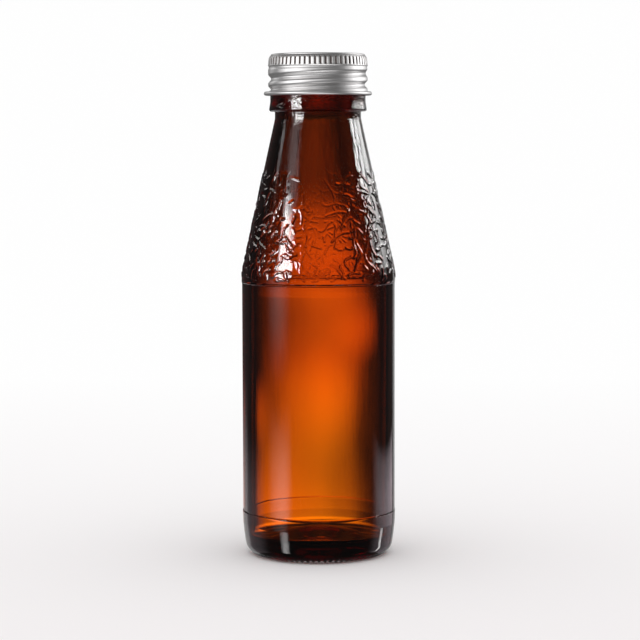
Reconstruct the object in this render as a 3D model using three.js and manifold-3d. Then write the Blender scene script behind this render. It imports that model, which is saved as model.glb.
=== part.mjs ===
// Amber glass drinks bottle with a conical textured shoulder, closed by a rolled-thread aluminium cap.
// Units are millimetres. +Z is up, the origin is the centre of the circle that the bottle stands on,
// and the thread's angle is counted from -Y towards +X.
import * as THREE from "three";
import { mergeVertices } from "three/addons/utils/BufferGeometryUtils.js";
import Module from "manifold-3d";

const wasm = await Module();
wasm.setup();

// ---- Driving dimensions -------------------------------------------------------------------------

// Glass body
const BODY_R = 21.75; // label panel
const PANEL_RECESS = 0.12; // the panel lies this far inside the heel and the shoulder
const PANEL_LOW_Z = 12.5;
const PANEL_HIGH_Z = 77.8;
const PANEL_STEP = 0.6; // height of the small slope at the top of the panel
const GROOVE_DEPTH = 0.1; // line moulded between the heel and the panel, below the panel's face
const GROOVE_BELOW = 0.22;
const GROOVE_ABOVE = 0.3;
const SHOULDER_Z = 80.4; // the cone starts here
const WALL = 2.35;
const CONE_WALL = 2.6;

// Base
const BEARING_INNER_R = 15.4; // the ring that the bottle stands on
const HEEL_CORNER_R = 20.6; // where the lines of the bearing face and the heel would cross
const HEEL_RADIUS = 3.8;
const HEEL_TOP_Z = 9;
const PUSH_UP_R = 13.2;
const PUSH_UP_Z = 1.5;
const PUSH_UP_CENTRE_Z = 4.2;
const FLOOR_Z = 3.6; // inside face of the base, which is domed
const FLOOR_RADIUS = 2.6;
const FLOOR_DOME_R = 9.5;
const FLOOR_DOME_Z = 6.7;
const FLOOR_CENTRE_Z = 8;

// Neck, transfer bead and finish
const NECK_R = 12.2;
const NECK_LOW_Z = 124.1;
const BEAD_LOW_Z = 126.1;
const BEAD_FLARE_Z = 128.8;
const BEAD_HIGH_Z = 130.8;
const BEAD_LOW_R = 13.92;
const BEAD_HIGH_R = 13.5;
const FINISH_R = 12.6; // root of the glass thread
const BORE_R = 9.2;
const LIP_Z = 140.4;
const LIP_RADIUS = 0.9;

// Thread: 8 turns to the inch, right-handed
const PITCH = 3.175;
const GLASS_THREAD = { front: 134.2, from: -0.48, to: 1.22, half: 1.1, height: 0.95 };
const CAP_THREAD = { front: 132.85, from: -0.42, to: 1.33, half: 1.35, height: -0.87 };
const THREAD_FADE = 0.12; // share of a turn over which a thread rises to its full height
const THREAD_ROW = 0.5; // height between two rings of points where a thread runs

// Aluminium cap
const SHEET = 0.22;
const SKIRT_R = 14.07;
const BAND_R = 13.9; // plain band between the thread and the knurling
const KNURL_R = 14.1;
const KNURL_INNER_R = 13.72;
const KNURLS = 60;
const KNURL_DEPTH = 0.2;
const KNURL_LOW_Z = 138.95;
const KNURL_HIGH_Z = 141.3;
const CURL_R = 15.3; // outside of the rolled bottom edge
const CURL_RADIUS = 0.55;
const CAP_LOW_Z = 130.6;
const CAP_HIGH_Z = 142.3;
const CAP_CORNER = 1.3;

// Liner
const LINER_R = 13.5;
const FACING = 0.15;
const LINER_GAP = 0.03; // kept between two faces that touch on the real cap
const LINER_EDGE = 1.1;

// Facets round the axis, and the widest turn that one facet of a rounded corner takes
const GLASS_FACETS = 48;
const ARC_STEP = Math.PI / 7;

// ---- Shape helpers ------------------------------------------------------------------------------

// Points of an outline whose corners are [r, z] or [r, z, radius]: a corner with a radius becomes an arc.
function outline(corners) {
  return corners.flatMap(([r, z, radius], i) => {
    const here = new THREE.Vector2(r, z);
    if (!radius) return [here];
    const before = new THREE.Vector2(...corners[i - 1].slice(0, 2)).sub(here).normalize();
    const after = new THREE.Vector2(...corners[i + 1].slice(0, 2)).sub(here).normalize();
    const half = Math.acos(THREE.MathUtils.clamp(before.dot(after), -1, 1)) / 2;
    const bisector = before.clone().add(after).normalize();
    const centre = here.clone().addScaledVector(bisector, radius / Math.sin(half));
    const start = here.clone().addScaledVector(before, radius / Math.tan(half)).sub(centre);
    const turn = (Math.PI - 2 * half) * Math.sign(before.cross(after)) * -1;
    const steps = Math.max(1, Math.ceil(Math.abs(turn) / ARC_STEP));
    return Array.from({ length: steps + 1 }, (_, k) =>
      start.clone().rotateAround(new THREE.Vector2(), (turn * k) / steps).add(centre),
    );
  });
}

// Corners up or down a straight wall, close enough together for a thread to be pushed out of it.
function wallRows(r, fromZ, toZ) {
  const rows = Math.round(Math.abs(toZ - fromZ) / THREAD_ROW);
  return Array.from({ length: rows + 1 }, (_, k) => [r, fromZ + ((toZ - fromZ) * k) / rows]);
}

// How far a thread stands out of its wall at an angle and a height: a rounded form that fades at both ends.
function threadHeight(thread, angle, z) {
  for (let turn = angle / (2 * Math.PI) - 2; turn < thread.to; turn += 1) {
    const off = Math.abs(z - thread.front - PITCH * turn);
    if (turn <= thread.from || off >= thread.half) continue;
    const fade = THREE.MathUtils.smoothstep(Math.min(turn - thread.from, thread.to - turn), 0, THREAD_FADE);
    return thread.height * fade * Math.cos((Math.PI * off) / (2 * thread.half)) ** 2;
  }
  return 0;
}

// A body of revolution about Z, with the thread pushed out of every wall outside the radius given.
function revolve(points, facets, thread, threadFromR = 0) {
  const geometry = new THREE.LatheGeometry(points, facets);
  const at = geometry.attributes.position;
  for (let i = 0; thread && i < at.count; i++) {
    const r = Math.hypot(at.getX(i), at.getZ(i));
    if (r < threadFromR) continue;
    const angle = Math.atan2(at.getX(i), at.getZ(i));
    const scale = 1 + threadHeight(thread, angle, at.getY(i)) / r;
    at.setX(i, at.getX(i) * scale);
    at.setZ(i, at.getZ(i) * scale);
  }
  return geometry.rotateX(Math.PI / 2);
}

// A three.js geometry as a manifold-3d solid, and back.
function toSolid(geometry) {
  const bare = geometry.clone();
  bare.deleteAttribute("normal");
  bare.deleteAttribute("uv");
  const merged = mergeVertices(bare, 1e-4);
  return new wasm.Manifold(
    new wasm.Mesh({
      numProp: 3,
      vertProperties: merged.attributes.position.array,
      triVerts: new Uint32Array(merged.index.array),
    }),
  );
}

function toGeometry(solid) {
  const mesh = solid.getMesh();
  const geometry = new THREE.BufferGeometry();
  geometry.setAttribute("position", new THREE.BufferAttribute(mesh.vertProperties, 3));
  geometry.setIndex(new THREE.BufferAttribute(mesh.triVerts, 1));
  geometry.computeVertexNormals();
  return geometry;
}

function named(name, geometry, look) {
  const mesh = new THREE.Mesh(geometry, new THREE.MeshStandardMaterial(look));
  mesh.name = name;
  return mesh;
}

// ---- The pieces ---------------------------------------------------------------------------------

// The bottle: one wall of glass from the push-up under the base, round the outside, over the lip and
// down inside to the floor.
function glassBottle() {
  const landR = BODY_R + PANEL_RECESS;
  const coneSlope = (landR - NECK_R) / (NECK_LOW_Z - SHOULDER_Z);
  const tilt = Math.atan(coneSlope);
  const innerR = BODY_R - WALL;
  // The inner cone is the outer one moved in by the cone's wall, and it meets the bore and the body here.
  const innerConeZ = (r) => SHOULDER_Z + (landR - CONE_WALL / Math.cos(tilt) - r) / coneSlope;
  const outside = outline([
    [0, PUSH_UP_CENTRE_Z],
    [PUSH_UP_R, PUSH_UP_Z, 3],
    [BEARING_INNER_R, 0],
    [HEEL_CORNER_R, 0, HEEL_RADIUS],
    [landR, HEEL_TOP_Z, 10],
    [landR, PANEL_LOW_Z - GROOVE_BELOW],
    [BODY_R - GROOVE_DEPTH, PANEL_LOW_Z],
    [BODY_R, PANEL_LOW_Z + GROOVE_ABOVE],
    [BODY_R, PANEL_HIGH_Z - PANEL_STEP],
    [landR, PANEL_HIGH_Z],
    [landR, SHOULDER_Z, 6],
    [NECK_R, NECK_LOW_Z, 4],
    [NECK_R, BEAD_LOW_Z],
    [BEAD_LOW_R, BEAD_LOW_Z, 0.6],
    [BEAD_HIGH_R, BEAD_FLARE_Z],
    [BEAD_HIGH_R, BEAD_HIGH_Z, 0.4],
    ...wallRows(FINISH_R, BEAD_HIGH_Z + 0.1, LIP_Z - 1.1),
    [FINISH_R, LIP_Z, LIP_RADIUS],
    [BORE_R, LIP_Z, LIP_RADIUS],
    [BORE_R, innerConeZ(BORE_R), 8],
    [innerR, innerConeZ(innerR), 8],
    [innerR, FLOOR_Z, FLOOR_RADIUS],
    [FLOOR_DOME_R, FLOOR_DOME_Z, 22],
    [0, FLOOR_CENTRE_Z],
  ]);
  const geometry = revolve(outside, GLASS_FACETS, GLASS_THREAD, FINISH_R - 0.1);
  return named("glass_bottle", geometry, { color: 0x7a2c05, roughness: 0.04, metalness: 0 });
}

// The sheet of the cap before it is knurled: curled edge, threaded skirt, plain band, corner and top,
// then back down the inside.
function capSheet() {
  const threadLowZ = CAP_LOW_Z + 2 * CURL_RADIUS + 0.2;
  const threadHighZ = KNURL_LOW_Z - 1.3;
  return outline([
    [SKIRT_R - SHEET, CAP_LOW_Z],
    [CURL_R, CAP_LOW_Z, CURL_RADIUS * 0.98],
    [CURL_R, CAP_LOW_Z + 2 * CURL_RADIUS, CURL_RADIUS * 0.98],
    [SKIRT_R, CAP_LOW_Z + 2 * CURL_RADIUS],
    ...wallRows(SKIRT_R, threadLowZ, threadHighZ),
    [BAND_R, threadHighZ + 0.4],
    [BAND_R, KNURL_LOW_Z - 0.2],
    [KNURL_R, KNURL_LOW_Z],
    [KNURL_R, CAP_HIGH_Z, CAP_CORNER],
    [0, CAP_HIGH_Z],
    [0, CAP_HIGH_Z - SHEET],
    [KNURL_INNER_R, CAP_HIGH_Z - SHEET, CAP_CORNER - SHEET],
    [KNURL_INNER_R, KNURL_LOW_Z],
    [BAND_R - SHEET, KNURL_LOW_Z - 0.2],
    [BAND_R - SHEET, threadHighZ + 0.4],
    ...wallRows(SKIRT_R - SHEET, threadHighZ, threadLowZ),
    [SKIRT_R - SHEET, CAP_LOW_Z],
  ]);
}

// One knurl: the upright V that is taken out of the cap's rim, at its place round the axis.
function knurlNotch(index) {
  const halfWidth = (0.55 * Math.PI * KNURL_R) / KNURLS;
  const facetR = KNURL_R * Math.cos(Math.PI / KNURLS);
  const section = new THREE.Shape([
    new THREE.Vector2(facetR - KNURL_DEPTH, 0),
    new THREE.Vector2(facetR + 1, -halfWidth * (1 + 1 / KNURL_DEPTH)),
    new THREE.Vector2(facetR + 1, halfWidth * (1 + 1 / KNURL_DEPTH)),
  ]);
  const notch = new THREE.ExtrudeGeometry(section, {
    depth: KNURL_HIGH_Z - KNURL_LOW_Z - 0.3,
    bevelEnabled: false,
  });
  return notch.translate(0, 0, KNURL_LOW_Z + 0.3).rotateZ(((index + 0.5) * 2 * Math.PI) / KNURLS);
}

function capShell() {
  let shell = toSolid(revolve(capSheet(), KNURLS, CAP_THREAD, 1));
  for (let index = 0; index < KNURLS; index++) {
    shell = shell.subtract(toSolid(knurlNotch(index)));
  }
  return named("cap_shell", toGeometry(shell), { color: 0xc9cacc, roughness: 0.35, metalness: 1 });
}

// The two bonded layers of the liner that the lip seals against.
const FACING_LOW_Z = LIP_Z + LINER_GAP;
const FOAM_LOW_Z = FACING_LOW_Z + FACING + LINER_GAP;
const FOAM_HIGH_Z = CAP_HIGH_Z - SHEET - LINER_GAP;

function linerFacing() {
  const disc = new THREE.CylinderGeometry(LINER_R, LINER_R, FACING, GLASS_FACETS);
  disc.rotateX(Math.PI / 2).translate(0, 0, FACING_LOW_Z + FACING / 2);
  return named("liner_facing", disc, { color: 0xf1efe8, roughness: 0.25, metalness: 0 });
}

function linerFoam() {
  const disc = outline([
    [0, FOAM_LOW_Z],
    [LINER_R, FOAM_LOW_Z],
    [LINER_R, FOAM_HIGH_Z, LINER_EDGE],
    [0, FOAM_HIGH_Z],
  ]);
  return named("liner_foam", revolve(disc, GLASS_FACETS), { color: 0xf4f2ec, roughness: 0.8, metalness: 0 });
}

const bottle = new THREE.Group();
bottle.add(glassBottle(), capShell(), linerFoam(), linerFacing());

export default bottle;
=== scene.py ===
"""Amber glass bottle with a conical relief shoulder and a knurled aluminium screw cap.

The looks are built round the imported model: one sheet of glass, one sheet of aluminium and two liner
discs, each a surface of revolution with its own fine form. Shapes are worked out in millimetres, in the
part's frame, and become metres when a mesh is made. Angles round the axis run from -Y towards +X.
"""

import math

import bpy
import numpy as np
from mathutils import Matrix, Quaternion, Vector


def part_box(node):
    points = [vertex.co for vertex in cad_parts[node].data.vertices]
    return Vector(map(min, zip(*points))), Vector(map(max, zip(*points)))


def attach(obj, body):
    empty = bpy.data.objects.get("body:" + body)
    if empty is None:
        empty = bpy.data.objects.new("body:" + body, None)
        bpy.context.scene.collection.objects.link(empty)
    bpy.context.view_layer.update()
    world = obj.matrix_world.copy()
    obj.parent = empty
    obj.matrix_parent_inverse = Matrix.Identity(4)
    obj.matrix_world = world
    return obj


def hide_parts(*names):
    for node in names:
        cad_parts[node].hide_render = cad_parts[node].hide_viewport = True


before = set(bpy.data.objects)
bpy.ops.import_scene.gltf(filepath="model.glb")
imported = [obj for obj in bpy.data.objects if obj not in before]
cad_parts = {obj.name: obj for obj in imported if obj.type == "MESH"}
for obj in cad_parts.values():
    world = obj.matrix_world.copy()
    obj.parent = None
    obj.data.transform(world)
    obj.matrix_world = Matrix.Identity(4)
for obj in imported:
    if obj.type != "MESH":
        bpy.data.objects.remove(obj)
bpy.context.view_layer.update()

MM = 0.001
TURN = 2 * math.pi
SEED = 28

# ---- Dimensions in millimetres ------------------------------------------------------------------

# What the frame says
GLASS_BOX = [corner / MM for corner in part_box("glass_bottle")]
CAP_BOX = [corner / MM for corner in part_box("cap_shell")]
FOAM_BOX = [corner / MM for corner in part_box("liner_foam")]
FACING_BOX = [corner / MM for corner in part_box("liner_facing")]
LAND_R = GLASS_BOX[1].x
LIP_Z = GLASS_BOX[1].z
CAP_LOW_Z = CAP_BOX[0].z
CAP_HIGH_Z = CAP_BOX[1].z
CURL_R = CAP_BOX[1].x

# Glass body
PANEL_RECESS = 0.12
PANEL_R = LAND_R - PANEL_RECESS
PANEL_LOW_Z = 12.5
PANEL_HIGH_Z = 77.8
PANEL_STEP = 0.16
GROOVE_DEPTH = 0.13
GROOVE_BELOW = 0.07
GROOVE_ABOVE = 0.32
SHOULDER_Z = 80.4
WALL = 2.35
CONE_WALL = 2.6

# Base
BEARING_R = 15.4
HEEL_CORNER_R = 20.6
HEEL_RADIUS = 3.8
HEEL_TOP_Z = 9
BEARING_HIGH_Z = 1.6
PUSH_UP_R = 13.2
PUSH_UP_Z = 1.5
PUSH_UP_CENTRE_Z = 4.2
FLOOR_Z = 3.6
FLOOR_RADIUS = 2.6
FLOOR_DOME_R = 9.5
FLOOR_DOME_Z = 6.7
FLOOR_CENTRE_Z = 8
CENTRE_RADIUS = 20  # rounds the middle of the push-up and of the floor's dome
BARS = 72  # radial bars moulded round the bearing ring
BAR_DEPTH = 0.42
BAR_SHARPNESS = 0.8
BAR_INNER_FADE = 0.8
BAR_OUTER_FADE = 1.1

# Slow waves inside the blown glass: how many go round the axis, and their size
RIPPLES = ((2, 0.06), (3, 0.05), (5, 0.03), (8, 0.015), (13, 0.006))
RIPPLE_RISE = 25  # height below the neck over which they grow to their full size

# Neck, transfer bead and finish
NECK_R = 12.2
NECK_LOW_Z = 124.1
BEAD_LOW_Z = 126.1
BEAD_FLARE_Z = 128.8
BEAD_HIGH_Z = 130.8
BEAD_LOW_R = 13.92
BEAD_HIGH_R = 13.5
FINISH_R = 12.6
BORE_R = 9.2
LIP_RADIUS = 0.9

# Thread: 8 turns to the inch, right-handed
PITCH = 3.175
GLASS_THREAD = {"front": 134.2, "from": -0.48, "to": 1.22, "half": 1.1, "height": 0.95}
CAP_THREAD = {"front": 132.85, "from": -0.42, "to": 1.33, "half": 1.35, "height": -0.87}
THREAD_FADE = 0.12

# Relief of short curved strokes on the lower cone
RELIEF_LOW_Z = 79.3
RELIEF_HIGH_Z = 109.2
RELIEF_HEIGHT = 0.21
STROKE_TRIES = 5200
STROKE_STEP = 0.25  # distance between the points of a stroke's path
STROKE_HALF_WIDTH = 0.42
STROKE_LENGTHS = (2.2, 7.5)
STROKE_SHORTEST = 1.3
STROKE_REACH = 3.8  # a stroke changes the surface this far from its middle, at most
STROKE_BEND = 0.2  # how much it curves and sways, in radians a millimetre
STROKE_SWAY = 0.6
STROKE_FIRMNESS = (0.75, 1.1)
STROKE_CROSSING = 0.04  # share of the strokes that may run across others
GAP_LOW = 1.42  # between the middles of two strokes
GAP_ADDED_HIGH = 0.8
GAP_FROM_Z = 88
GAP_RISE = 20
THINNED_HIGH = 0.7  # share of the strokes left out at the top
THINNED_FROM_Z = 96
WORN_LEAST_LOW = 0.32  # share of the height left where the mould is worn
WORN_LEAST_HIGH = 0.06
WORN_FROM_Z = 92
WORN_RISE = 9
WORN_WIDTH = math.radians(20)
WORN_BACK_WIDTH = math.radians(40)
NOWHERE_NEAR = 9.0  # a distance that is more than any between strokes

# Aluminium cap
SHEET = 0.22
SKIRT_R = 14.07
BAND_R = 13.9
KNURL_R = 14.1
KNURL_INNER_R = 13.72
KNURLS = 60
KNURL_DEPTH = 0.26
KNURL_LEAN = 0.2
KNURL_LOW_Z = 138.95
KNURL_HIGH_Z = 141.2
KNURL_INSIDE = 0.4  # share of the flutes' depth that shows on the inside of the sheet
CURL_RADIUS = 0.55
CURL_HIGH_Z = CAP_LOW_Z + 2 * CURL_RADIUS
CAP_CORNER = 1.6
RIM_STEP = 0.25
BAND_STEP = 0.4
THREAD_HIGH_Z = KNURL_LOW_Z - 1.1
ROLLED_LOW_Z = CURL_HIGH_Z - 0.65  # the rolled thread changes the sheet between these heights
ROLLED_HIGH_Z = THREAD_HIGH_Z + 1.2

# Liner
LINER_STEP = 0.4
PRESSED_DEPTH = 0.1
PRESSED_HALF_WIDTH = 1.0
PRESSED_FADE = 0.7

# Columns round the axis: a coarse skin, and several times as many where the form is fine
GLASS_COLUMNS = 144
GLASS_FINER = 5
CAP_COLUMNS = 240
CAP_FINER = 3
LINER_COLUMNS = 144

# Distance between rings of points up an outline
PLAIN_STEP = 3.0
RELIEF_STEP = 0.21
BEARING_STEP = 0.35
FINISH_STEP = 0.3
CAP_TOP_STEP = 2.0
CAP_STEP = 0.22


# ---- Outlines -----------------------------------------------------------------------------------

def unit(vector):
    return vector / np.linalg.norm(vector)


def turned(vector, angle):
    cosine = math.cos(angle)
    sine = math.sin(angle)
    return np.array([cosine * vector[0] - sine * vector[1], sine * vector[0] + cosine * vector[1]])


def outline(corners, arc_step=math.radians(8)):
    """Points of an outline whose corners are (r, z) or (r, z, radius); a radius makes an arc."""
    points = []
    for i, corner in enumerate(corners):
        here = np.array(corner[:2], float)
        if len(corner) == 2:
            points.append(here)
            continue
        before = unit(np.array(corners[i - 1][:2]) - here)
        after = unit(np.array(corners[i + 1][:2]) - here)
        half = math.acos(max(-1.0, min(1.0, before @ after))) / 2
        centre = here + unit(before + after) * corner[2] / math.sin(half)
        start = here + before * corner[2] / math.tan(half) - centre
        turn = (2 * half - math.pi) * math.copysign(1, before[0] * after[1] - before[1] * after[0])
        steps = max(2, math.ceil(abs(turn) / arc_step))
        points += [centre + turned(start, turn * k / steps) for k in range(steps + 1)]
    return points


def spaced(points, step_at):
    """The points, with each long stretch split: closely at both its ends, and by step_at(r, z) between."""
    edge = 0.12
    made = [points[0]]
    for a, b in zip(points, points[1:]):
        length = np.linalg.norm(b - a)
        step = step_at(*((a + b) / 2))
        stops = []
        if length > 5 * edge and step > edge:
            stops = [edge, 3 * edge]
            count = max(1, math.ceil((length - 6 * edge) / step))
            stops += [3 * edge + (length - 6 * edge) * k / count for k in range(1, count)]
            stops += [length - 3 * edge, length - edge]
        made += [a + (b - a) * stop / length for stop in stops] + [b]
    return np.array(made)


def smoothstep(x):
    x = np.clip(x, 0, 1)
    return x * x * (3 - 2 * x)


# ---- Surfaces of revolution ---------------------------------------------------------------------

class Skin:
    """Rings of points up an outline, each with its own number of columns, and moves added to them."""

    def __init__(self, points, columns_at):
        self.r, self.z = points.T
        along = np.gradient(points, axis=0)
        along /= np.linalg.norm(along, axis=1)[:, None]
        self.out_r, self.out_z = along[:, 1], -along[:, 0]
        self.run = np.concatenate([[0], np.cumsum(np.linalg.norm(np.diff(points, axis=0), axis=1))])
        self.columns = [1 if r < 1e-6 else columns_at(r, z) for r, z in points]
        self.moves = [np.zeros((n, 2)) for n in self.columns]

    def angles(self, row):
        return np.arange(self.columns[row]) * TURN / self.columns[row]

    def refine(self, row, finer):
        """Gives a ring, not moved yet, several times as many columns."""
        self.columns[row] *= finer
        self.moves[row] = np.zeros((self.columns[row], 2))

    def push(self, row, height):
        """Moves a ring out of the surface, along the outline's normal."""
        self.moves[row][:, 0] += height * self.out_r[row]
        self.moves[row][:, 1] += height * self.out_z[row]

    def widen(self, row, amount):
        """Moves a ring away from the axis."""
        self.moves[row][:, 0] += amount

    def mesh(self, name):
        """The skin as a smooth mesh in metres, in the scene under this name."""
        points, faces, first = [], [], []
        for row, n in enumerate(self.columns):
            first.append(sum(len(ring) for ring in points))
            r = self.r[row] + self.moves[row][:, 0]
            z = self.z[row] + self.moves[row][:, 1]
            angles = self.angles(row)
            points.append(np.column_stack([r * np.sin(angles), -r * np.cos(angles), z]) * MM)
        for row in range(len(self.columns) - 1):
            faces += stitched(first[row], self.columns[row], first[row + 1], self.columns[row + 1])
        mesh = bpy.data.meshes.new(name)
        mesh.from_pydata(np.concatenate(points), [], faces)
        mesh.shade_smooth()
        piece = bpy.data.objects.new(name, mesh)
        bpy.context.scene.collection.objects.link(piece)
        return piece


def stitched(low, low_n, high, high_n):
    """Faces between two rings: equal ones, a ring and a pole, or a coarse and a several times finer one."""
    if low_n == 1:
        return [(low, high + (j + 1) % high_n, high + j) for j in range(high_n)]
    if high_n == 1:
        return [(low + j, low + (j + 1) % low_n, high) for j in range(low_n)]
    if low_n == high_n:
        after = [(j + 1) % low_n for j in range(low_n)]
        return [(low + j, low + after[j], high + after[j], high + j) for j in range(low_n)]
    coarse, fine, n = (low, high, low_n) if low_n < high_n else (high, low, high_n)
    finer = max(low_n, high_n) // n
    middle = finer // 2
    faces = []
    for j in range(n):
        a, b = coarse + j, coarse + (j + 1) % n
        f = [fine + (finer * j + k) % (finer * n) for k in range(finer + 1)]
        fan = [(a, f[k + 1], f[k]) for k in range(middle)] + [(a, b, f[middle])]
        fan += [(b, f[k + 1], f[k]) for k in range(middle, finer)]
        faces += fan if low_n < high_n else [face[::-1] for face in fan]
    return faces


def thread_height(thread, angles, z):
    """How far a thread stands out of its wall: a rounded form that fades at both its ends."""
    height = np.zeros(len(angles))
    for lap in range(-2, 3):
        turn = angles / TURN + lap
        off = np.abs(z - thread["front"] - PITCH * turn)
        fade = smoothstep(np.minimum(turn - thread["from"], thread["to"] - turn) / THREAD_FADE)
        form = np.cos(np.clip(off / thread["half"], 0, 1) * math.pi / 2) ** 2
        height += thread["height"] * fade * form
    return height


# ---- Glass --------------------------------------------------------------------------------------

def cone_slope():
    return (LAND_R - NECK_R) / (NECK_LOW_Z - SHOULDER_Z)


def inner_cone_z(r):
    """Height at which the inside of the cone has radius r."""
    return SHOULDER_Z + (LAND_R - CONE_WALL / math.cos(math.atan(cone_slope())) - r) / cone_slope()


def glass_outside():
    return outline([
        (0, PUSH_UP_CENTRE_Z),
        (PUSH_UP_R / 3, PUSH_UP_CENTRE_Z, CENTRE_RADIUS),
        (PUSH_UP_R, PUSH_UP_Z, 3),
        (BEARING_R, 0, 1.2),
        (HEEL_CORNER_R, 0, HEEL_RADIUS),
        (LAND_R, HEEL_TOP_Z, 44),
        (LAND_R, PANEL_LOW_Z - GROOVE_BELOW, 0.03),
        (PANEL_R - GROOVE_DEPTH, PANEL_LOW_Z, 0.04),
        (PANEL_R, PANEL_LOW_Z + GROOVE_ABOVE, 0.05),
        (PANEL_R, PANEL_HIGH_Z - PANEL_STEP, 0.12),
        (LAND_R, PANEL_HIGH_Z, 0.12),
        (LAND_R, SHOULDER_Z, 17),
        (NECK_R, NECK_LOW_Z, 4),
        (NECK_R, BEAD_LOW_Z, 0.25),
        (BEAD_LOW_R, BEAD_LOW_Z, 0.6),
        (BEAD_HIGH_R, BEAD_FLARE_Z, 3),
        (BEAD_HIGH_R, BEAD_HIGH_Z, 0.4),
        (FINISH_R, BEAD_HIGH_Z + 0.1, 0.3),
        (FINISH_R, LIP_Z, LIP_RADIUS),
        (BORE_R + LIP_RADIUS, LIP_Z),
    ])


def glass_inside():
    inner_r = PANEL_R - WALL
    return outline([
        (BORE_R + LIP_RADIUS, LIP_Z),
        (BORE_R, LIP_Z, LIP_RADIUS),
        (BORE_R, inner_cone_z(BORE_R), 30),
        (inner_r, inner_cone_z(inner_r), 45),
        (inner_r, FLOOR_Z, FLOOR_RADIUS),
        (FLOOR_DOME_R, FLOOR_DOME_Z, 22),
        (FLOOR_DOME_R / 3, FLOOR_CENTRE_Z, CENTRE_RADIUS),
        (0, FLOOR_CENTRE_Z),
    ])[1:]


def on_relief(z):
    return RELIEF_LOW_Z - 0.8 < z < RELIEF_HIGH_Z + 0.6


def on_bearing(r, z):
    return z < BEARING_HIGH_Z and r > PUSH_UP_R + 0.8


def on_finish(z):
    return z > BEAD_HIGH_Z


def outside_step(r, z):
    if on_relief(z):
        return RELIEF_STEP
    if on_bearing(r, z):
        return BEARING_STEP
    return FINISH_STEP if on_finish(z) else PLAIN_STEP


def stroke_path(rng, start):
    """Points along one stroke of the relief, in mm round and up the cone, from its start."""
    length = rng.uniform(*STROKE_LENGTHS)
    heading = rng.uniform(0, TURN)
    bend = rng.normal(0, STROKE_BEND)
    sway = rng.normal(0, STROKE_SWAY)
    phase = rng.uniform(0, TURN)
    path = [np.array(start, float)]
    for k in range(int(length / STROKE_STEP)):
        heading += STROKE_STEP * (bend + sway * math.sin(phase + TURN * k * STROKE_STEP / length))
        path.append(path[-1] + STROKE_STEP * np.array([math.cos(heading), math.sin(heading)]))
    return path


def stroke_distance(path, x, y):
    """Distance from each place of a patch of the cone to the middle line of a stroke."""
    least = np.full(np.broadcast(x, y).shape, NOWHERE_NEAR)
    for a, b in zip(path, path[1:]):
        step = b - a
        share = np.clip(((x - a[0]) * step[0] + (y - a[1]) * step[1]) / STROKE_STEP**2, 0, 1)
        least = np.minimum(least, np.hypot(x - a[0] - share * step[0], y - a[1] - share * step[1]))
    return least


def beside(angle):
    """1 at the sides, where the relief stays dense up to its top, and 0 at the front and back."""
    return smoothstep((abs(math.sin(angle)) - 0.5) / 0.3)


def stroke_gap(angle, z):
    """Least distance between the middles of two strokes: close at the shoulder, open higher up."""
    return GAP_LOW + GAP_ADDED_HIGH * smoothstep((z - GAP_FROM_Z) / GAP_RISE) * (1 - 0.8 * beside(angle))


def thinned(angle, z):
    """Share of the strokes that is left out, away from the sides and near the top."""
    high = smoothstep((z - THINNED_FROM_Z) / (RELIEF_HIGH_Z - THINNED_FROM_Z))
    return THINNED_HIGH * high * (1 - beside(angle))


def worn(angle, z):
    """Share of the relief's height that is left: less at the front and back, and less still higher up."""
    high = smoothstep((z - WORN_FROM_Z) / WORN_RISE)
    least = WORN_LEAST_LOW + (WORN_LEAST_HIGH - WORN_LEAST_LOW) * high
    off = abs((angle + math.pi) % TURN - math.pi)
    front = least + (1 - least) * smoothstep((off - 0.5 * WORN_WIDTH) / WORN_WIDTH)
    back = least + (1 - least) * smoothstep((math.pi - off - 0.5 * WORN_BACK_WIDTH) / WORN_BACK_WIDTH)
    return min(front, back)


def relief(skin, rows):
    """Height of the relief over the rings given: strokes grown one by one into the room that is left."""
    rng = np.random.default_rng(SEED)
    run, radius, up = skin.run[rows], skin.r[rows], skin.z[rows]
    angles = skin.angles(rows[0])
    nearest = np.full((len(rows), len(angles)), NOWHERE_NEAR)
    height = np.zeros(nearest.shape)

    def row_of(at):
        return int(np.clip(np.searchsorted(run, at), 0, len(rows) - 1))

    def has_room(at, gap):
        row = row_of(at[1])
        column = int(round(at[0] / radius[row] / TURN * len(angles))) % len(angles)
        inside = RELIEF_LOW_Z < up[row] < RELIEF_HIGH_Z and run[0] < at[1] < run[-1]
        return inside and nearest[row, column] >= gap

    for _ in range(STROKE_TRIES):
        start = rng.uniform(run[0], run[-1])
        row = row_of(start)
        z, r = up[row], radius[row]
        angle = rng.uniform(0, TURN)
        wanted = rng.uniform() < 1 - thinned(angle, z)
        path = stroke_path(rng, (angle * r, start))
        firmness = rng.uniform(*STROKE_FIRMNESS)
        crosses = rng.uniform() < STROKE_CROSSING
        gap = 0 if crosses else stroke_gap(angle, z)
        kept = []
        for at in path:
            if not has_room(at, gap):
                break
            kept.append(at)
        if not wanted or len(kept) * STROKE_STEP < STROKE_SHORTEST:
            continue
        middle = np.mean(kept, axis=0)
        around = (angles - middle[0] / r + math.pi) % TURN - math.pi
        near_rows = np.nonzero(np.abs(run - middle[1]) < STROKE_REACH)[0]
        near_columns = np.nonzero(np.abs(around) * r < STROKE_REACH)[0]
        x = middle[0] + around[near_columns][None, :] * r
        away = stroke_distance(kept, x, run[near_rows][:, None])
        patch = np.ix_(near_rows, near_columns)
        nearest[patch] = np.minimum(nearest[patch], away)
        tall = firmness * worn(middle[0] / r, z) * RELIEF_HEIGHT
        height[patch] = np.maximum(height[patch], tall * smoothstep(1 - away / STROKE_HALF_WIDTH))
    return height


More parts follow.
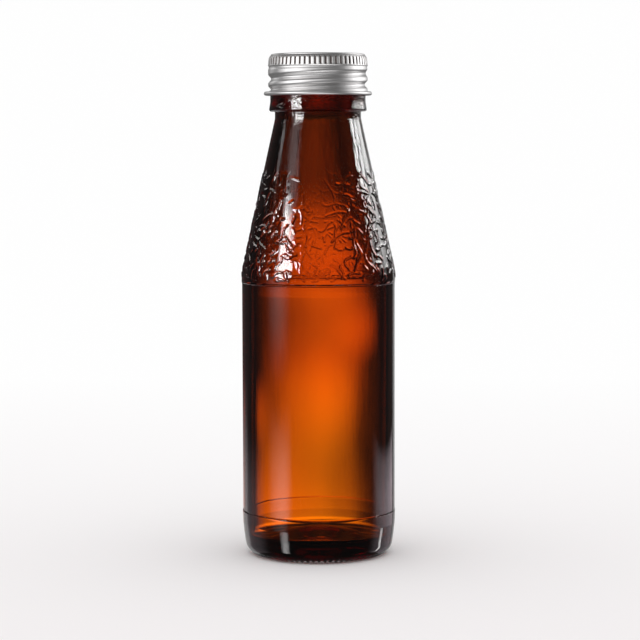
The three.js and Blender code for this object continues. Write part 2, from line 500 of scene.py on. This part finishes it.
def bar_hollows(angles, r, z):
    """Depth of the hollows between the bars of the bearing ring."""
    crest = (0.5 + 0.5 * np.cos(BARS * angles)) ** BAR_SHARPNESS
    inner = smoothstep((r - BEARING_R - 0.1) / BAR_INNER_FADE)
    outer = smoothstep((BEARING_HIGH_Z - 0.1 - z) / BAR_OUTER_FADE)
    return BAR_DEPTH * inner * outer * (1 - crest)


def ripple(angles, z):
    """Slow unevenness of blown glass, in mm: a few waves round the axis that drift with height."""
    rng = np.random.default_rng(SEED)
    wave = np.zeros(len(angles))
    for count, size in RIPPLES:
        drift = rng.uniform(-0.03, 0.03)
        start = rng.uniform(0, TURN)
        pace = rng.uniform(0.02, 0.07)
        wave += size * np.sin(count * angles + start + drift * z) * (0.7 + 0.3 * math.sin(pace * z + start))
    return wave


def glass_bottle():
    outside_points = glass_outside()
    outside = spaced(outside_points, outside_step)
    inside = spaced([outside_points[-1], *glass_inside()], lambda r, z: PLAIN_STEP)
    skin = Skin(np.concatenate([outside, inside[1:]]), lambda r, z: GLASS_COLUMNS)
    lip_row = len(outside) - 1
    relief_rows = [row for row in range(lip_row) if on_relief(skin.z[row])]
    bearing_rows = [row for row in range(lip_row) if on_bearing(skin.r[row], skin.z[row])]
    finish_rows = [row for row in range(lip_row) if on_finish(skin.z[row])]
    for row in relief_rows + bearing_rows:
        skin.refine(row, GLASS_FINER)
    for row in bearing_rows:
        skin.push(row, -bar_hollows(skin.angles(row), skin.r[row], skin.z[row]))
    for row, height in zip(relief_rows, relief(skin, relief_rows)):
        skin.push(row, height)
    for row in finish_rows:
        skin.widen(row, thread_height(GLASS_THREAD, skin.angles(row), skin.z[row]))
    for row in range(lip_row + 2, len(skin.columns) - 1):
        share = smoothstep((LIP_Z - 2 - skin.z[row]) / RIPPLE_RISE) * min(1, skin.r[row] / BORE_R)
        skin.widen(row, share * ripple(skin.angles(row), skin.z[row]))
    return skin.mesh("glass_skin")


# ---- Cap and liner ------------------------------------------------------------------------------

def cap_outline():
    curl_arc = 0.98 * CURL_RADIUS
    return outline([
        (0, CAP_HIGH_Z - SHEET),
        (KNURL_INNER_R, CAP_HIGH_Z - SHEET, CAP_CORNER - SHEET),
        (KNURL_INNER_R, KNURL_LOW_Z),
        (BAND_R - SHEET, KNURL_LOW_Z - RIM_STEP),
        (BAND_R - SHEET, THREAD_HIGH_Z + BAND_STEP),
        (SKIRT_R - SHEET, THREAD_HIGH_Z, 0.5),
        (SKIRT_R - SHEET, CAP_LOW_Z, 0.25),
        (CURL_R, CAP_LOW_Z, curl_arc),
        (CURL_R, CURL_HIGH_Z, curl_arc),
        (SKIRT_R, CURL_HIGH_Z, 0.12),
        (SKIRT_R, THREAD_HIGH_Z, 0.5),
        (BAND_R, THREAD_HIGH_Z + BAND_STEP, 0.4),
        (BAND_R, KNURL_LOW_Z - RIM_STEP, 0.2),
        (KNURL_R, KNURL_LOW_Z, 0.15),
        (KNURL_R, CAP_HIGH_Z, CAP_CORNER),
        (0, CAP_HIGH_Z),
    ])


def cap_step(r, z):
    return CAP_TOP_STEP if r < KNURL_INNER_R - CAP_CORNER else CAP_STEP


def cap_columns(r, z):
    on_rim = z > KNURL_LOW_Z - 0.3 and r > KNURL_INNER_R - 0.9
    return CAP_COLUMNS * (CAP_FINER if on_rim else 1)


def flute(angles):
    """Depth share of the flutes round the rim: rounded ribs that meet in narrow hollows."""
    across = 1 - 2 * np.abs((angles * KNURLS / TURN) % 1 - 0.5)
    return 1 - np.sqrt(1 - across**2)


def cap_shell():
    """The sheet of the cap, from the middle of its underside round the curl to the middle of its top."""
    skin = Skin(spaced(cap_outline(), cap_step), cap_columns)
    for row in range(1, len(skin.columns) - 1):
        r, z, angles = skin.r[row], skin.z[row], skin.angles(row)
        outer = row > len(skin.columns) / 2
        if ROLLED_LOW_Z < z < ROLLED_HIGH_Z and r < SKIRT_R + 0.05:
            room = smoothstep((z - CAP_LOW_Z - 0.9) / 0.8)
            skin.widen(row, room * thread_height(CAP_THREAD, angles, z))
        elif z > KNURL_LOW_Z - 0.1:
            fade = smoothstep((z - KNURL_LOW_Z - 0.05) / 0.4) * smoothstep((KNURL_HIGH_Z + 0.35 - z) / 0.5)
            skin.widen(row, -KNURL_DEPTH * (1 if outer else KNURL_INSIDE) * fade * flute(angles))
            if outer and r > KNURL_INNER_R - 0.3:
                skin.widen(row, -KNURL_LEAN * (z - KNURL_LOW_Z) / (KNURL_HIGH_Z - KNURL_LOW_Z))
    return skin.mesh("cap_skin")


def pressed(r):
    """Depth of the ring that the lip presses into the liner."""
    off = abs(r - (BORE_R + FINISH_R) / 2)
    return PRESSED_DEPTH * (1 - smoothstep((off - PRESSED_HALF_WIDTH) / PRESSED_FADE))


def liner_disc(name, box, edge):
    """A disc with a rounded upper edge, whose lower face bulges on each side of the lip's ring."""
    low, high, r = box[0].z, box[1].z, box[1].x
    points = outline([(0, low), (r, low, 0.4 * edge), (r, high, edge), (0, high)])
    skin = Skin(spaced(points, lambda r, z: LINER_STEP), lambda r, z: LINER_COLUMNS)
    for row in range(len(skin.columns)):
        if skin.out_z[row] < -0.9:
            skin.moves[row][:, 1] += pressed(skin.r[row]) - PRESSED_DEPTH
    return skin.mesh(name)


# ---- Node trees ---------------------------------------------------------------------------------

class Tree:
    """A node tree, with short calls that add nodes to it. A value may be a number, a colour or a socket."""

    def __init__(self, tree):
        self.tree = tree

    def give(self, target, value):
        """Sets an input to a value, or joins it to a socket."""
        if isinstance(value, bpy.types.NodeSocket):
            self.tree.links.new(value, target)
        else:
            target.default_value = value

    def add(self, kind, **values):
        """A new node, with values for its settings and for its inputs."""
        node = self.tree.nodes.new(kind)
        for name, value in values.items():
            if hasattr(node, name):
                setattr(node, name, value)
            else:
                self.give(node.inputs[name.replace("_", " ")], value)
        return node

    def axes(self, space="Object"):
        """X, Y and Z of where the surface is, or of another texture coordinate."""
        place = self.add("ShaderNodeTexCoord").outputs[space]
        return self.add("ShaderNodeSeparateXYZ", Vector=place).outputs

    def maths(self, operation, *values):
        node = self.add("ShaderNodeMath", operation=operation)
        for target, value in zip(node.inputs, values):
            self.give(target, value)
        return node.outputs[0]

    def ranged(self, source, low, high, start=0.3, end=0.7, interpolation="LINEAR"):
        """Goes from low to high as the source goes from start to end."""
        node = self.add("ShaderNodeMapRange", interpolation_type=interpolation, Value=source)
        for name, value in (("From Min", start), ("From Max", end), ("To Min", low), ("To Max", high)):
            self.give(node.inputs[name], value)
        return node.outputs["Result"]

    def eased(self, source, start, end, low=0.0, high=1.0):
        """The same with soft ends."""
        return self.ranged(source, low, high, start, end, "SMOOTHSTEP")

    def mixed(self, share, low, high):
        """Goes from the low colour to the high one as the share goes from 0 to 1."""
        node = self.add("ShaderNodeMix", data_type="RGBA", Factor=share)
        for name, colour in (("A", low), ("B", high)):
            self.give(node.inputs[name], (*colour, 1) if isinstance(colour, tuple) else colour)
        return node.outputs["Result"]

    def noise(self, scale, stretch=(1, 1, 1), detail=3.0, roughness=0.5):
        """Noise over the object, in features per metre."""
        place = self.add("ShaderNodeTexCoord").outputs["Object"]
        stretched = self.add("ShaderNodeMapping", Vector=place, Scale=stretch).outputs["Vector"]
        noise = self.add("ShaderNodeTexNoise", Vector=stretched, Scale=scale, Detail=detail)
        noise.inputs["Roughness"].default_value = roughness
        return noise.outputs["Fac"]

    def bump(self, source, depth, below=None):
        """Relief of this depth in metres, on top of another bump's if one is given."""
        node = self.add("ShaderNodeBump", Strength=1.0, Distance=depth, Height=source)
        if below:
            self.give(node.inputs["Normal"], below)
        return node.outputs["Normal"]


# ---- Materials ----------------------------------------------------------------------------------

WHITE = (1.0, 1.0, 1.0)
AMBER_LEFT = (0.9676, 0.7765, 0.02)  # with the density, what a wall lets through
AMBER_DENSITY = 1700.0
# painted shade: dark colour put in the hollows of the rim's flutes
HOLLOW_SHADE = (0.10, 0.08, 0.075)
# painted highlight: light colour for the fluted band of the rim
RIB_HIGHLIGHT = (0.97, 0.96, 0.955)
DULL_SHEEN = (0.70, 0.685, 0.68)
BRIGHT_SHEEN = (0.83, 0.82, 0.82)


class Material(Tree):
    """A new material with a Principled shader."""

    def __init__(self, name):
        self.material = bpy.data.materials.new(name)
        self.material.use_nodes = True
        super().__init__(self.material.node_tree)
        self.output = self.tree.nodes["Material Output"]
        self.shader = self.tree.nodes["Principled BSDF"]

    def set(self, **values):
        """Gives values to the shader's inputs."""
        for name, value in values.items():
            self.give(self.shader.inputs[name.replace("_", " ")], value)


def amber_glass():
    """Clear amber glass: its colour is what the wall absorbs, and its surface is a little uneven.

    Lines drawn upwards show where the cone is bare, and a chilled skin from the neck to the lip.
    """
    nodes = Material("amber_glass")
    nodes.set(Transmission_Weight=1.0, IOR=1.52)
    streaks = nodes.noise(90, stretch=(1, 1, 0.25), detail=2)
    nodes.set(Base_Color=nodes.mixed(streaks, (1.0, 0.96, 0.93), WHITE))
    nodes.set(Roughness=nodes.ranged(nodes.noise(420), 0.015, 0.035))
    height = nodes.axes()["Z"]
    waves = nodes.bump(nodes.noise(140, stretch=(1, 1, 0.5), detail=1), 0.03 * MM)
    drawn = nodes.bump(nodes.noise(1100, stretch=(1, 1, 0.12), detail=2), 0.008 * MM, waves)
    bare = nodes.ranged(height, 0, 1, (RELIEF_HIGH_Z - 15) * MM, RELIEF_HIGH_Z * MM)
    lines = nodes.maths("MULTIPLY", bare, nodes.noise(800, stretch=(1, 1, 0.09), detail=2))
    lined = nodes.bump(lines, 0.06 * MM, drawn)
    on_neck = nodes.ranged(height, 0, 1, (NECK_LOW_Z - 3) * MM, (NECK_LOW_Z + 1) * MM)
    chilled = nodes.maths("MULTIPLY", on_neck, nodes.noise(1200, stretch=(0.7, 0.7, 1.4), detail=2))
    nodes.set(Normal=nodes.bump(chilled, 0.11 * MM, lined))
    volume = nodes.add("ShaderNodeVolumeAbsorption", Color=(*AMBER_LEFT, 1), Density=AMBER_DENSITY)
    nodes.give(nodes.output.inputs["Volume"], volume.outputs["Volume"])
    return nodes.material


def on_flutes(nodes):
    """Painted highlight mask: 1 on the fluted part of the rim, 0 above and below it."""
    height = nodes.axes()["Z"]
    above = nodes.ranged(height, 0, 1, (KNURL_LOW_Z - 0.1) * MM, (KNURL_LOW_Z + 0.3) * MM)
    below = nodes.ranged(height, 1, 0, (KNURL_HIGH_Z - 0.2) * MM, (KNURL_HIGH_Z + 0.3) * MM)
    return nodes.maths("MULTIPLY", above, below)


def off_hollows(nodes):
    """Painted shade mask: 0 in the hollows of the rim's flutes, 1 on the lands between them and above and
    below them.
    """
    x, y, z = nodes.axes()
    angle = nodes.maths("ARCTAN2", x, nodes.maths("MULTIPLY", y, -1))
    across = nodes.maths("FRACT", nodes.maths("MULTIPLY", angle, KNURLS / TURN))
    land = nodes.ranged(nodes.maths("ABSOLUTE", nodes.maths("SUBTRACT", across, 0.5)), 0, 1, 0.14, 0.30)
    low = nodes.ranged(z, 1, 0, KNURL_LOW_Z * MM, (KNURL_LOW_Z + 0.3) * MM)
    high = nodes.ranged(z, 0, 1, KNURL_HIGH_Z * MM, (KNURL_HIGH_Z + 0.4) * MM)
    return nodes.maths("MAXIMUM", land, nodes.maths("MAXIMUM", low, high))


def satin_aluminium():
    """Drawn aluminium: fine lines round the axis, a cloudy sheen, a painted highlight on the ribs and
    painted shade in the hollows.
    """
    nodes = Material("satin_aluminium")
    nodes.set(Metallic=1.0, Specular_IOR_Level=0.5)
    clouds = nodes.noise(160, detail=4)
    lines = nodes.noise(60, stretch=(1, 1, 60), detail=5, roughness=0.65)
    specks = nodes.noise(1500, detail=2)
    sheen = nodes.mixed(nodes.ranged(clouds, 0, 1), DULL_SHEEN, BRIGHT_SHEEN)
    # painted highlight on the fluted band of the rim
    highlighted_ribs = nodes.mixed(on_flutes(nodes), sheen, RIB_HIGHLIGHT)
    # painted shade in the hollows between the flutes
    nodes.set(Base_Color=nodes.mixed(off_hollows(nodes), HOLLOW_SHADE, highlighted_ribs))
    nodes.set(Roughness=nodes.ranged(lines, 0.27, 0.35))
    nodes.set(Normal=nodes.bump(specks, 0.0015 * MM, nodes.bump(lines, 0.0003 * MM)))
    return nodes.material


def liner_material(name, low, high, roughness, depth):
    """Foam or film: two tones in small cells, which also give the surface its depth in mm."""
    nodes = Material(name)
    cells = nodes.noise(2600, detail=2)
    nodes.set(Base_Color=nodes.mixed(nodes.ranged(cells, 0, 1), low, high))
    nodes.set(Roughness=nodes.ranged(nodes.noise(500), roughness - 0.06, roughness + 0.06))
    nodes.set(Normal=nodes.bump(cells, depth * MM))
    return nodes.material


# ---- Stage, in metres ---------------------------------------------------------------------------

RAY_KINDS = ("camera", "diffuse", "glossy", "transmission", "volume_scatter", "shadow")
WALLS_SEEN_THROUGH = 4  # surfaces that a straight look through the bottle crosses
AMBIENT_REFLECTED = 0.06
VIOLET = (1.0, 0.84, 0.92)
PINK = (1.0, 0.8, 0.8)

# Panels all round, which the world shows only through the glass
PANELS = 8
PANEL_MEAN = 0.48
PANEL_SWING = 0.17
PANEL_COLOUR = (1.0, 0.8, 0.38)

# Strip lights, the card behind the bottle and the small dark one under it
STRIP_DISTANCE = 0.8
CARD_Y = 0.3
CARD_HALF_WIDTH = 0.27
CARD_HALF_HEIGHT = 0.4
CARD_RADIANCE = 0.012
CARD_LOW_COLOUR = (1.0, 0.86, 0.3)
CARD_MIDDLE_COLOUR = (1.0, 0.50, 0.3)
CARD_HIGH_COLOUR = (0.5, 0.85, 0.2)
CARD_LOW_COLOUR_Z = -0.015
CARD_HIGH_COLOUR_Z = 0.135
CARD_DIMMED = 0.3  # share of its light left for rays that have wandered inside the glass
SPOT_DEPTH = 10  # so deep that the card's own place in Y makes no difference
UNDER_HALF_WIDTH = 0.0155
UNDER_Z = -0.0005

# Cove and dome: surfaces of revolution, so in millimetres
COVE_R = 2100
COVE_HEIGHT = 2600
COVE_BEND = 900
COVE_COLUMNS = 96
DOME_R = 1500
DOME_ROWS = 25
DOME_COLUMNS = 48
DOME_RADIANCE = 0.10

# Camera
EYE = (0, -0.627, 0.1195)
LENS = 124.0
SENSOR_WIDTH = 36
PITCH_DOWN = math.radians(4.8)
YAW = math.radians(-0.039)
ROLL = math.radians(-0.14)


def show_to(surface, kinds):
    """Makes a surface visible to these kinds of ray and to no others."""
    for kind in RAY_KINDS:
        setattr(surface, "visible_" + kind, kind in kinds)


class SoftLight(Tree):
    """Plain emission on a see-through mesh, for the kinds of ray given and, if so, for one piece only."""

    def __init__(self, surface, radiance, sees, only=None, see_through=True, colour=WHITE):
        show_to(surface, sees)
        if only:
            lit = bpy.data.collections.new(surface.name + "_lights")
            lit.objects.link(only)
            surface.light_linking.receiver_collection = lit
        material = bpy.data.materials.new(surface.name)
        material.use_nodes = True
        super().__init__(material.node_tree)
        self.tree.nodes.clear()
        self.light = self.add("ShaderNodeEmission", Color=(*colour, 1), Strength=radiance)
        clear = self.add("ShaderNodeBsdfTransparent", Color=(1, 1, 1, 1) if see_through else (0, 0, 0, 1))
        both = self.add("ShaderNodeAddShader")
        output = self.add("ShaderNodeOutputMaterial")
        self.give(both.inputs[0], self.light.outputs["Emission"])
        self.give(both.inputs[1], clear.outputs["BSDF"])
        self.give(output.inputs["Surface"], both.outputs["Shader"])
        surface.data.materials.append(material)
        self.strength = radiance

    def shine(self, strength):
        """Makes a socket the light's strength."""
        self.strength = strength
        self.give(self.light.inputs["Strength"], strength)

    def dim_beyond(self, walls, share):
        """Leaves this share of the light for rays that have met more than this many surfaces."""
        depth = self.add("ShaderNodeLightPath").outputs["Ray Depth"]
        beyond = self.maths("GREATER_THAN", depth, walls + 0.5)
        left = self.maths("SUBTRACT", 1.0, self.maths("MULTIPLY", beyond, 1 - share))
        self.shine(self.maths("MULTIPLY", self.strength, left))

    def tint(self, low_z, high_z, stops):
        """Colours the light by height: shares of the way from low_z to high_z, each with its colour."""
        share = self.ranged(self.axes()["Z"], 0, 1, low_z, high_z)
        ramp = self.add("ShaderNodeValToRGB", Fac=share)
        for k, (at, colour) in enumerate(stops):
            stop = ramp.color_ramp.elements[k] if k < 2 else ramp.color_ramp.elements.new(at)
            stop.position = at
            stop.color = (*colour, 1)
        self.give(self.light.inputs["Color"], ramp.outputs["Color"])

    def soften(self, left=0.0, right=0.0, bottom=0.0, top=0.0):
        """Fades a card over these shares of its width and height at each edge."""
        across = self.axes("UV")
        total = self.strength
        for axis, start, end in (("X", 0, left), ("X", 1, 1 - right), ("Y", 0, bottom), ("Y", 1, 1 - top)):
            if start != end:
                total = self.maths("MULTIPLY", self.eased(across[axis], start, end), total)
        self.shine(total)

    def spots(self, spots):
        """Adds soft oval spots: middle and half size in metres, and radiance at the middle."""
        place = self.add("ShaderNodeTexCoord").outputs["Object"]
        total = self.strength
        for middle, half_size, radiance in spots:
            oval = self.add("ShaderNodeMapping", Vector=place)
            oval.inputs["Location"].default_value = [-m / h for m, h in zip(middle, half_size)]
            oval.inputs["Scale"].default_value = [1 / h for h in half_size]
            away = self.add("ShaderNodeVectorMath", operation="LENGTH")
            self.give(away.inputs[0], oval.outputs["Vector"])
            total = self.maths("ADD", self.eased(away.outputs["Value"], 1, 0, 0, radiance), total)
        self.shine(total)


def card(name, corners):
    """A flat card in the scene, from its corners: low left, low right, high right, high left."""
    mesh = bpy.data.meshes.new(name)
    mesh.from_pydata(corners, [], [(0, 1, 2, 3)])
    mesh.uv_layers.new().data.foreach_set("uv", [0, 0, 1, 0, 1, 1, 0, 1])
    surface = bpy.data.objects.new(name, mesh)
    bpy.context.scene.collection.objects.link(surface)
    return surface


def upright(azimuths, heights):
    """Corners of an upright card between two azimuths, counted from the camera's side towards +X."""
    low, high = heights
    ends = []
    for azimuth in azimuths:
        angle = math.radians(azimuth)
        ends.append((STRIP_DISTANCE * math.sin(angle), -STRIP_DISTANCE * math.cos(angle)))
    (x0, y0), (x1, y1) = ends
    return [(x0, y0, low), (x1, y1, low), (x1, y1, high), (x0, y0, high)]


def cove():
    """Pale floor that curves up into a pale wall all round, lit by the world alone."""
    profile = np.array(outline([(COVE_R, COVE_HEIGHT), (COVE_R, 0, COVE_BEND), (0, 0)]))
    surface = Skin(profile, lambda r, z: COVE_COLUMNS).mesh("cove")
    nodes = Material("pale_cove")
    # painted shade: the floor and wall are painted darker towards the camera and lighter towards the back
    back = nodes.ranged(nodes.axes()["Y"], 0, 1, -0.15, 0.45)
    nodes.set(Base_Color=nodes.mixed(back, (0.915, 0.885, 0.89), (0.995, 0.995, 0.995)))
    nodes.set(Roughness=0.7, Specular_IOR_Level=0.0)
    surface.data.materials.append(nodes.material)
    show_to(surface, ("camera", "volume_scatter"))


def studio_world():
    """White to the eye and on the floor, dark in reflections, and soft panels seen through the glass.

    The panels leave out what is low down, and what the card behind the bottle stands for.
    """
    world = bpy.data.worlds.new("studio")
    bpy.context.scene.world = world
    world.use_nodes = True
    nodes = Tree(world.node_tree)
    nodes.tree.nodes.clear()
    x, y, z = nodes.axes("Generated")
    wave = nodes.maths("COSINE", nodes.maths("MULTIPLY", nodes.maths("ARCTAN2", x, y), PANELS))
    panels = nodes.maths("MULTIPLY_ADD", wave, PANEL_SWING, PANEL_MEAN)
    behind = nodes.maths("MULTIPLY", nodes.eased(y, 0.2, 0.5), nodes.eased(z, -0.34, -0.26))
    panels = nodes.maths("MULTIPLY", panels, nodes.eased(z, -0.65, -0.5))
    panels = nodes.maths("MULTIPLY", panels, nodes.maths("SUBTRACT", 1.0, behind))
    ray = nodes.add("ShaderNodeLightPath").outputs
    early = nodes.maths("LESS_THAN", ray["Ray Depth"], WALLS_SEEN_THROUGH + 0.5)
    through = nodes.maths("MULTIPLY", ray["Is Transmission Ray"], early)
    mirrored = nodes.maths("MULTIPLY", ray["Is Glossy Ray"], ray["Is Reflection Ray"])
    plain = nodes.maths("MAXIMUM", ray["Is Camera Ray"], ray["Is Diffuse Ray"])
    plain = nodes.maths("MULTIPLY_ADD", mirrored, AMBIENT_REFLECTED, plain)
    background = nodes.add(
        "ShaderNodeBackground",
        Color=nodes.mixed(through, WHITE, PANEL_COLOUR),
        Strength=nodes.maths("MULTIPLY_ADD", through, panels, plain),
    )
    nodes.add("ShaderNodeOutputWorld", Surface=background.outputs[0])


def strip_lights(glass):
    """The upright strips that only the glass mirrors: azimuths in degrees, heights, and radiance."""
    def strip(name, azimuths, heights, radiance, colour=WHITE, **edges):
        surface = card("light_" + name, upright(azimuths, heights))
        SoftLight(surface, radiance, ("glossy",), glass, colour=colour).soften(**edges)

    strip("left", (-69, -40.5), (0.129, 0.388), 22, left=0.25, right=0.06, top=0.12, bottom=0.06)
    strip("left_top", (-67, -46), (0.47, 0.53), 3, left=0.3, right=0.2, top=0.2, bottom=0.25)
    strip("left_haze", (-84, -37), (0.365, 0.455), 1.8, PINK, left=0.6, right=0.35, top=0.6, bottom=0.1)
    strip("left_high", (-172, -90), (0.29, 0.7), 2.6, left=0.1, right=0.15, top=0.2, bottom=0.1)
    strip("left_skirt", (-86, -40), (-0.035, 0.16), 0.85, left=0.55, right=0.45, top=0.05, bottom=0.3)
    strip("left_low", (-84, -38), (-0.175, -0.04), 1.9, left=0.6, right=0.35, top=0.5, bottom=0.25)
    strip("left_foot", (-64, -46), (-0.56, -0.15), 5.0, left=0.45, right=0.45, top=0.5, bottom=0.3)
    strip("left_edge", (-178, -132), (-0.5, -0.02), 0.6, right=0.3, top=0.25)
    strip("right", (93, 106), (0.24, 0.46), 14, left=0.35, right=0.15, top=0.2, bottom=0.35)
    strip("right_second", (108, 119), (0.2, 0.46), 9, left=0.15, right=0.2, top=0.2, bottom=0.35)
    strip("right_third", (121, 146), (0.14, 0.48), 4, left=0.1, right=0.5, top=0.2, bottom=0.35)
    strip("right_haze", (104, 150), (0.12, 0.32), 1.6, left=0.3, right=0.3, top=0.2, bottom=0.4)
    strip("right_high", (98, 168), (0.33, 0.62), 7, left=0.15, right=0.1, top=0.2, bottom=0.1)
    strip("right_low", (86, 147), (-0.19, -0.062), 0.75, VIOLET, left=0.3, right=0.05, top=0.12, bottom=0.8)
    strip("right_floor", (84, 150), (-0.5, -0.07), 0.5, VIOLET, left=0.35, right=0.1, top=0.06)
    strip("left_floor", (-150, -84), (-0.5, -0.05), 0.32, VIOLET, left=0.2, right=0.4, top=0.12)
    strip("right_foot", (107, 115), (-0.56, -0.18), 5.0, left=0.3, right=0.3, top=0.2, bottom=0.3)
    strip("right_edge", (146, 178), (-0.5, 0.2), 0.5, left=0.3)


def cards_seen_through():
    """What is seen only through the glass: a lit card behind the bottle and a dark one under it."""
    def spot(x, z, half_width, half_height, radiance):
        return (x, CARD_Y, z), (half_width, SPOT_DEPTH, half_height), radiance

    x, z = CARD_HALF_WIDTH, CARD_HALF_HEIGHT
    corners = [(-x, CARD_Y, -z), (x, CARD_Y, -z), (x, CARD_Y, z), (-x, CARD_Y, z)]
    behind = SoftLight(card("card_behind", corners), CARD_RADIANCE, ("transmission",), see_through=False)
    behind.tint(CARD_LOW_COLOUR_Z, CARD_HIGH_COLOUR_Z, (
        (0, CARD_LOW_COLOUR),
        (0.28, CARD_MIDDLE_COLOUR),
        (0.94, CARD_MIDDLE_COLOUR),
        (1, CARD_HIGH_COLOUR),
    ))
    behind.spots((
        spot(0.018, 0.045, 0.050, 0.060, 0.40),
        spot(0.000, 0.045, 0.076, 0.064, 0.36),
        spot(-0.005, 0.112, 0.046, 0.055, 0.135),
        spot(-0.010, 0.005, 0.080, 0.045, 0.52),
        spot(-0.032, -0.048, 0.110, 0.058, 1.2),
        spot(-0.010, -0.070, 0.110, 0.045, 0.8),
        spot(0.002, 0.006, 0.042, 0.031, 0.52),
        spot(0.046, 0.038, 0.046, 0.017, 0.44),
        spot(-0.078, 0.002, 0.042, 0.020, 0.5),
        spot(-0.006, 0.070, 0.085, 0.031, 0.46),
        spot(0.0, -0.19, 0.04, 0.04, 0.14),
    ))
    behind.dim_beyond(WALLS_SEEN_THROUGH, CARD_DIMMED)

    half, z = UNDER_HALF_WIDTH, UNDER_Z
    corners = [(-half, -half, z), (half, -half, z), (half, half, z), (-half, half, z)]
    SoftLight(card("card_under", corners), 0.0, ("transmission",), see_through=False)


def cap_lights(cap):
    """A dome of light for the metal alone: pale all round, brighter at the sides."""
    angles = np.linspace(-0.5 * math.pi, 0.5 * math.pi, DOME_ROWS)
    profile = [(DOME_R * math.cos(angle), DOME_R * math.sin(angle)) for angle in angles]
    profile[0] = (0, -DOME_R)
    profile[-1] = (0, DOME_R)
    surface = Skin(np.array(profile), lambda r, z: DOME_COLUMNS).mesh("cap_dome")
    dome = SoftLight(surface, DOME_RADIANCE, ("glossy",), cap)
    dome.spots((
        ((-1.15, -0.96, 0.35), (1.2, 1.2, 1.25), 1.8),
        ((1.39, 0.56, 0.35), (1.45, 1.45, 1.3), 1.9),
        ((-1.06, 1.06, 0.6), (0.75, 0.75, 0.8), 0.8),
        ((-1.48, -0.26, 0.35), (0.8, 0.9, 1.2), 0.8),
        ((-0.3, -1.1, 0.9), (1.1, 1.2, 0.7), 0.22),
        ((-0.1, -1.42, 0.5), (1.2, 0.8, 0.42), 1.1),
        ((0, -0.5, -1.4), (1.2, 1.2, 1.0), 2.0),
    ))


def camera():
    """Eye height and distance that give the ellipses their shape; the long lens keeps them flat."""
    data = bpy.data.cameras.new("camera")
    data.sensor_width = SENSOR_WIDTH
    data.lens = LENS
    data.clip_end = 50
    eye = bpy.data.objects.new("camera", data)
    bpy.context.scene.collection.objects.link(eye)
    eye.location = EYE
    pitch = Quaternion((1, 0, 0), math.pi / 2 - PITCH_DOWN)
    yaw = Quaternion((0, 0, 1), YAW)
    roll = Quaternion((0, 0, 1), ROLL)
    eye.rotation_mode = "QUATERNION"
    eye.rotation_quaternion = yaw @ pitch @ roll
    bpy.context.scene.camera = eye


# ---- The object ---------------------------------------------------------------------------------

def placed(piece, body, node, material):
    piece.data.materials.append(material)
    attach(piece, body)
    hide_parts(node)
    return piece


glass = placed(glass_bottle(), "bottle", "glass_bottle", amber_glass())
cap = placed(cap_shell(), "cap", "cap_shell", satin_aluminium())
placed(
    liner_disc("liner_foam_disc", FOAM_BOX, 1.0), "liner", "liner_foam",
    liner_material("foam", (0.72, 0.70, 0.66), (0.84, 0.83, 0.8), roughness=0.8, depth=0.04),
)
placed(
    liner_disc("liner_facing_disc", FACING_BOX, 0.06), "liner", "liner_facing",
    liner_material("facing", (0.82, 0.81, 0.78), (0.88, 0.87, 0.85), roughness=0.3, depth=0.006),
)

cove()
studio_world()
strip_lights(glass)
cards_seen_through()
cap_lights(cap)
camera()

scene = bpy.context.scene
scene.view_settings.view_transform = "Standard"
scene.cycles.use_denoising = True
scene.cycles.max_bounces = 20
scene.cycles.transmission_bounces = 20
